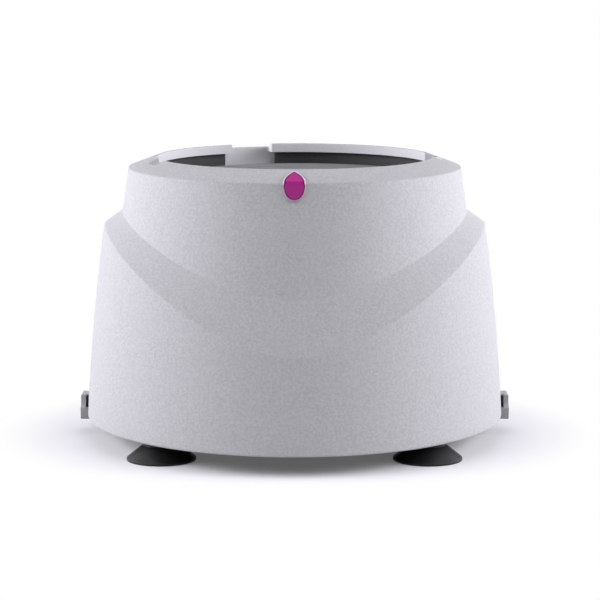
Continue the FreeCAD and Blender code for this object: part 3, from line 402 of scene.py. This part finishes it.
def make_lens(material):
    """Leaf over the rim: rows follow the rim's section from the tip to the foot.

    The lower half is a half ellipse and the upper one narrows by a power to a point. Each row is flat in the
    middle and sinks under the surface at its ends. Every point keeps its distance from the leaf's outline.
    """
    top = math.hypot(rim_radius - lip_radius, rim_rise) - leaf_tip_margin
    ends = 1 - np.cos(np.linspace(0, math.pi / 2, 36))
    along = np.concatenate([top - (top - leaf_bend_start) * ends,
                            np.linspace(leaf_bend_half, -leaf_bend_half, 23),
                            -leaf_fall + (leaf_fall - leaf_bend_start) * ends[::-1]])
    upper = np.clip((along + leaf_crease_drop) / (top + leaf_crease_drop), 0, 1)
    lower = np.clip((-leaf_crease_drop - along) / (leaf_fall - leaf_crease_drop), 0, 1)
    half = leaf_width / 2 * (1 - upper ** leaf_upper_power) * np.sqrt(1 - lower ** 2)
    half = np.maximum(half, leaf_least_half)[:, None]
    across = np.linspace(-1, 1, 41)
    section, out = rim_path(along)
    x = half * across
    lift = np.minimum(half, 1.0) * (lens_crown - (lens_crown + lens_sink) * across ** 12)
    radius = np.sqrt(section[:, :1] ** 2 - x * x) + lift * out[:, :1]
    z = section[:, 1:] + lift * out[:, 1:]
    points = np.stack([x, -radius, z], axis=-1)
    faces = grid_faces(len(along), len(across), close_rows=False, close_columns=False)
    lens = mesh_object("lens_skin", points.reshape(-1, 3), faces)
    inside = lens.data.attributes.new("inside", "FLOAT", "POINT")
    outline = np.concatenate([np.column_stack([side * half[:, 0], along]) for side in (-1, 1)])
    gap = np.hypot(x[..., None] - outline[:, 0], along[:, None, None] - outline[:, 1]).min(axis=-1)
    inside.data.foreach_set("value", gap.ravel())
    thick = lens.modifiers.new("thick", "SOLIDIFY")
    thick.thickness = lens_thickness * mm
    thick.offset = -1
    lens.data.materials.append(material)
    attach(lens, "base")
    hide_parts("indicator_lens")


class Shade:
    """A socket of a material's node tree. Sums and products of it add the nodes that they need."""

    def __init__(self, tree, socket=None):
        self.tree = tree
        self.socket = socket

    def feed(self, target, value):
        """Puts a number, a colour or another socket into an input."""
        if isinstance(value, Shade):
            self.tree.links.new(value.socket, target)
        else:
            target.default_value = value

    def node(self, kind, inputs, output=0, **settings):
        """Adds any node: its inputs by name or number, and one of its outputs as the result."""
        added = self.tree.nodes.new(kind)
        for name, value in settings.items():
            setattr(added, name, value)
        for name, value in inputs.items():
            self.feed(added.inputs[name], value)
        return Shade(self.tree, added.outputs[output])

    def math(self, operation, first, second=0.0):
        """Result of one Math node."""
        return self.node("ShaderNodeMath", {0: first, 1: second}, operation=operation)

    def __add__(self, other):
        return self.math("ADD", self, other)

    def __radd__(self, other):
        return self.math("ADD", other, self)

    def __sub__(self, other):
        return self.math("SUBTRACT", self, other)

    def __rsub__(self, other):
        return self.math("SUBTRACT", other, self)

    def __mul__(self, other):
        return self.math("MULTIPLY", self, other)

    def __rmul__(self, other):
        return self.math("MULTIPLY", other, self)

    def __truediv__(self, other):
        return self.math("DIVIDE", self, other)

    def __rtruediv__(self, other):
        return self.math("DIVIDE", other, self)

    def step(self, low, high):
        """Smooth change from 0 at low to 1 at high."""
        return self.node("ShaderNodeMapRange", {"Value": self, "From Min": low, "From Max": high},
                         interpolation_type="SMOOTHSTEP")

    def mix(self, first, second):
        """Colour between two colours, with this socket as the share of the second."""
        added = self.tree.nodes.new("ShaderNodeMix")
        added.data_type = "RGBA"
        self.feed(added.inputs[0], self)
        self.feed(added.inputs[6], first)
        self.feed(added.inputs[7], second)
        return Shade(self.tree, added.outputs[2])


class Material:
    """A material with one main shader, the object's own coordinates and noise of a size in millimetres."""

    def __init__(self, name):
        self.data = bpy.data.materials.new(name)
        self.data.use_nodes = True
        self.tree = self.data.node_tree
        self.main = self.tree.nodes["Principled BSDF"]
        self.start = Shade(self.tree)
        self.place = self.start.node("ShaderNodeTexCoord", {}, "Object")

    def noise(self, size, detail=2.0):
        """Noise whose spots have about the given size in millimetres."""
        scale = 1 / (size * mm)
        return self.start.node("ShaderNodeTexNoise", {"Vector": self.place, "Scale": scale, "Detail": detail})

    def axis(self, name):
        """One of the object's own coordinates."""
        return self.start.node("ShaderNodeSeparateXYZ", {0: self.place}, name)

    def put(self, **values):
        """Sets or links inputs of the main shader by their names."""
        for name, value in values.items():
            self.start.feed(self.main.inputs[name.replace("_", " ")], value)

    def bump(self, height, depth):
        """Relief of a depth in millimetres."""
        inputs = {"Height": height, "Strength": 1.0, "Distance": depth * mm}
        self.put(Normal=self.start.node("ShaderNodeBump", inputs, "Normal"))


def grey(value, blue=0.0):
    """Grey of a brightness, with a share more blue."""
    return (value, value, value * (1 + blue), 1.0)


def shade_of(colour, share):
    """A colour made darker or lighter by one factor."""
    return tuple(c * share for c in colour[:3]) + (1.0,)


def housing_plastic():
    """Silver-grey plastic with a fine dark and light speckle, slightly mottled, with a fine moulded grain.

    The upright faces inside the well's radius are painted paler: painted light, standing in for light from
    the front that falls on them.
    """
    material = Material("housing_plastic")
    fine = material.noise(0.9, 1.0)
    broad = material.noise(14.0, 2.0)
    speckle = fine.step(0.30, 0.70).mix(grey(0.472), grey(0.560))
    colour = (broad.step(0.3, 0.7) * 0.25).mix(speckle, grey(0.53))
    x, y = material.axis("X"), material.axis("Y")
    from_axis = material.start.math("SQRT", x * x + y * y)
    facing = material.start.node("ShaderNodeNewGeometry", {}, "Normal")
    level = material.start.node("ShaderNodeSeparateXYZ", {0: facing}, "Z")
    outside = from_axis.step((well_radius + 1) * mm, (well_radius + 2) * mm)
    # painted light: upright faces inside the well are painted paler where front light falls on them
    painted_light = (1.0 - level * level).step(0.6, 0.85) * (1.0 - outside)
    colour = painted_light.mix(colour, fine.mix(grey(0.66), grey(0.74)))
    material.put(Base_Color=colour, Roughness=0.56 + fine * 0.10, Specular_IOR_Level=0.10)
    material.bump(material.noise(0.35, 1.0), 0.012)
    return material.data


def moulded(name, colour, roughness, speck=0.10, size=0.5, depth=0.01, coat=0.0, specular=0.3):
    """Plain finish with a fine grain in colour, gloss and relief."""
    material = Material(name)
    fine = material.noise(size)
    broad = material.noise(size * 25)
    share = fine.step(0.3, 0.7) * 0.6 + broad.step(0.3, 0.7) * 0.4
    material.put(Base_Color=share.mix(shade_of(colour, 1 - speck), shade_of(colour, 1 + speck)),
                 Roughness=roughness + (fine - 0.5) * 0.16, Coat_Weight=coat, Specular_IOR_Level=specular)
    material.bump(fine, depth)
    return material.data


def brushed(name, colour, roughness):
    """Metal with fine lines along one direction."""
    material = Material(name)
    along = {"Vector": material.place, "Scale": (1.0, 12.0, 12.0)}
    stretched = material.start.node("ShaderNodeMapping", along)
    lines = material.start.node("ShaderNodeTexNoise", {"Vector": stretched, "Scale": 300.0, "Detail": 3.0})
    material.put(Base_Color=lines.mix(shade_of(colour, 0.85), shade_of(colour, 1.08)), Metallic=1.0,
                 Roughness=roughness + (lines - 0.5) * 0.2)
    material.bump(lines, 0.01)
    return material.data


def lens_plastic():
    """Glossy magenta, made lighter on the rim's slope as painted light, with a band of painted shade along
    its outline and a line of painted highlight at its very edge.
    """
    material = Material("lens_magenta")
    slope = material.axis("Z").step((rim_z - 1.0) * mm, (rim_z + 0.6) * mm)
    inside = material.start.node("ShaderNodeAttribute", {}, "Fac", attribute_name="inside")
    grain = material.noise(0.6)
    # painted light: the part on the rim's slope gets a lighter magenta, standing in for light falling from
    # above
    body = slope.mix((0.425, 0.040, 0.248, 1.0), (0.46, 0.022, 0.235, 1.0))
    body = (grain * 0.25).mix(body, (0.38, 0.03, 0.23, 1.0))
    # painted shade: a darker magenta band along the outline stands in for the shade on the lens's bevel
    painted_shade_border = slope.mix((0.10, 0.010, 0.07, 1.0), (0.12, 0.010, 0.08, 1.0))
    inside = inside / (0.65 + slope * 0.35)
    body = (inside - slope * 0.25).step(lens_shade_border - 0.2, lens_shade_border + 0.05).mix(painted_shade_border, body)
    # painted highlight: a light line at the very edge stands in for light caught by the seat's chamfer
    painted_highlight = (1.0 - inside.step(lens_highlight_edge - 0.1, lens_highlight_edge + 0.05)) * (0.5 + slope * 0.5)
    body = painted_highlight.mix(body, (0.80, 0.62, 0.76, 1.0))
    material.put(Base_Color=body, Roughness=0.32 + grain * 0.06, Specular_IOR_Level=0.06)
    material.bump(grain, 0.004)
    return material.data


def make_materials():
    """One finish for each slot of the record."""
    return {
        "housing_plastic": housing_plastic(),
        "lens_magenta": lens_plastic(),
        "base_plastic": moulded("base_plastic", grey(0.05), 0.5),
        "liner_plastic": moulded("liner_plastic", grey(0.066), 0.5, depth=0.006, specular=0.08),
        "led_clear": moulded("led_clear", grey(0.7), 0.15, coat=0.5),
        "circuit_board": moulded("circuit_board", (0.03, 0.20, 0.09, 1.0), 0.4),
        "sheet_aluminium": brushed("sheet_aluminium", grey(0.72, 0.02), 0.35),
        "black_rubber": moulded("black_rubber", grey(0.014), 0.42, speck=0.25, depth=0.006, specular=0.25),
        "mat_rubber": moulded("mat_rubber", grey(0.22), 0.62, depth=0.015, specular=0.12),
        "bush_plastic": moulded("bush_plastic", (0.75, 0.73, 0.66, 1.0), 0.4),
        "motor_steel": brushed("motor_steel", grey(0.50), 0.4),
        "bright_steel": brushed("bright_steel", grey(0.65), 0.28),
        "black_plastic": moulded("black_plastic", grey(0.02), 0.4),
        "terminal_brass": brushed("terminal_brass", (0.75, 0.56, 0.25, 1.0), 0.3),
        "weight_brass": brushed("weight_brass", (0.68, 0.50, 0.23, 1.0), 0.35),
        "capacitor_sleeve": moulded("capacitor_sleeve", (0.03, 0.04, 0.12, 1.0), 0.3, coat=0.3),
        "platform_plastic": moulded("platform_plastic", grey(0.22), 0.5, specular=0.12),
        "latch_plastic": moulded("latch_plastic", grey(0.35), 0.42),
        "knob_plastic": moulded("knob_plastic", grey(0.04), 0.42),
        "rocker_plastic": moulded("rocker_plastic", grey(0.015), 0.22, coat=0.4),
    }


def paint_nodes(materials):
    """Gives every solid the finish of its slot."""
    for part in frame["record"]["subparts"]:
        mesh = frame["nodes"][part["node"]].data
        mesh.materials.clear()
        mesh.materials.append(materials[part["material_slot"]])


def seeing_ray(start):
    """1 for what the camera sees, also in gloss and through glass, and 0 for the light on the object."""
    names = ("Is Camera Ray", "Is Glossy Ray", "Is Transmission Ray")
    camera, glossy, through = (start.node("ShaderNodeLightPath", {}, name) for name in names)
    return start.math("MINIMUM", camera + glossy + through, 1.0)


def make_floor():
    """Pale floor; the camera and gloss see it white away from the object, and its own shade near it."""
    reach = 12000.0
    points = np.array([(-reach, -reach, 0), (reach, -reach, 0), (reach, reach, 0), (-reach, reach, 0)])
    floor = mesh_object("floor", points, [[0, 1, 2, 3]])
    material = Material("floor_white")
    tree = material.tree
    stretch = {0: material.place, 1: (0.93, 1.06, 1.0)}
    oval = material.start.node("ShaderNodeVectorMath", stretch, operation="MULTIPLY")
    radius = material.start.node("ShaderNodeVectorMath", {0: oval}, "Value", operation="LENGTH")
    seen = seeing_ray(material.start)
    grain = material.noise(3.0)
    colour = (grain * 0.04).mix(seen.mix(grey(0.80), grey(0.96)), grey(0.8))
    material.put(Base_Color=colour, Roughness=0.9 + grain * 0.05, Specular_IOR_Level=0.0)
    white = material.start.node("ShaderNodeEmission", {"Color": grey(1.0), "Strength": 1.0})
    both = tree.nodes.new("ShaderNodeMixShader")
    material.start.feed(both.inputs[0], (0.10 + radius.step(0.092, 0.125) * 0.90) * seen)
    tree.links.new(material.main.outputs[0], both.inputs[1])
    tree.links.new(white.socket, both.inputs[2])
    tree.links.new(both.outputs[0], tree.nodes["Material Output"].inputs[0])
    floor.data.materials.append(material.data)


def area_light(name, place, aim, width, height, watts):
    """Rectangular lamp turned so that it faces the aim."""
    light = bpy.data.lights.new(name, "AREA")
    light.shape = "RECTANGLE"
    light.size = width
    light.size_y = height
    light.energy = watts
    light.color = studio_tint
    item = bpy.data.objects.new(name, light)
    item.location = place
    direction = np.array(aim) - np.array(place)
    across = math.atan2(direction[0], direction[1])
    dip = math.atan2(direction[2], math.hypot(direction[0], direction[1]))
    item.rotation_euler = (math.pi / 2 + dip, 0, -across)
    bpy.context.scene.collection.objects.link(item)


def make_lights():
    """Three pairs of soft boxes, the strongest ones low at the sides, a weak box above, and a faint glow all
    round; all slightly lilac."""
    aim = (0.0, 0.0, 0.06)
    for side, name in ((-1, "left"), (1, "right")):
        area_light(name + "_box", (side * 0.95, 0.0, 0.42), aim, 0.65, 0.4, 7.2)
        area_light(name + "_back_box", (side * 0.85, 0.49, 0.30), aim, 0.55, 0.48, 1.9)
        area_light(name + "_front_box", (side * 0.78, -0.40, 0.50), aim, 0.7, 0.5, 3.15)
    area_light("top_box", (0.0, 0.15, 1.3), aim, 1.2, 1.2, 3.9)
    world = bpy.data.worlds.new("studio")
    bpy.context.scene.world = world
    world.use_nodes = True
    tree = world.node_tree
    start = Shade(tree)
    glow = shade_of(studio_tint, 0.01)
    start.feed(tree.nodes["Background"].inputs[0], seeing_ray(start).mix(glow, grey(1.0)))


def make_camera():
    """Camera in front and a little above, 8.9 degrees down, with a long lens."""
    data = bpy.data.cameras.new("camera")
    data.lens = 142.03
    data.sensor_width = 36.0
    data.clip_end = 100.0
    camera = bpy.data.objects.new("camera", data)
    camera.location = (0.00229, -1.0212, 0.2183)
    camera.rotation_euler = (math.radians(90 - 8.898), 0, 0)
    bpy.context.scene.collection.objects.link(camera)
    bpy.context.scene.camera = camera


bpy.context.scene.view_settings.view_transform = "Standard"
materials = make_materials()
paint_nodes(materials)
make_housing(materials["housing_plastic"])
make_lens(materials["lens_magenta"])
make_floor()
make_lights()
make_camera()
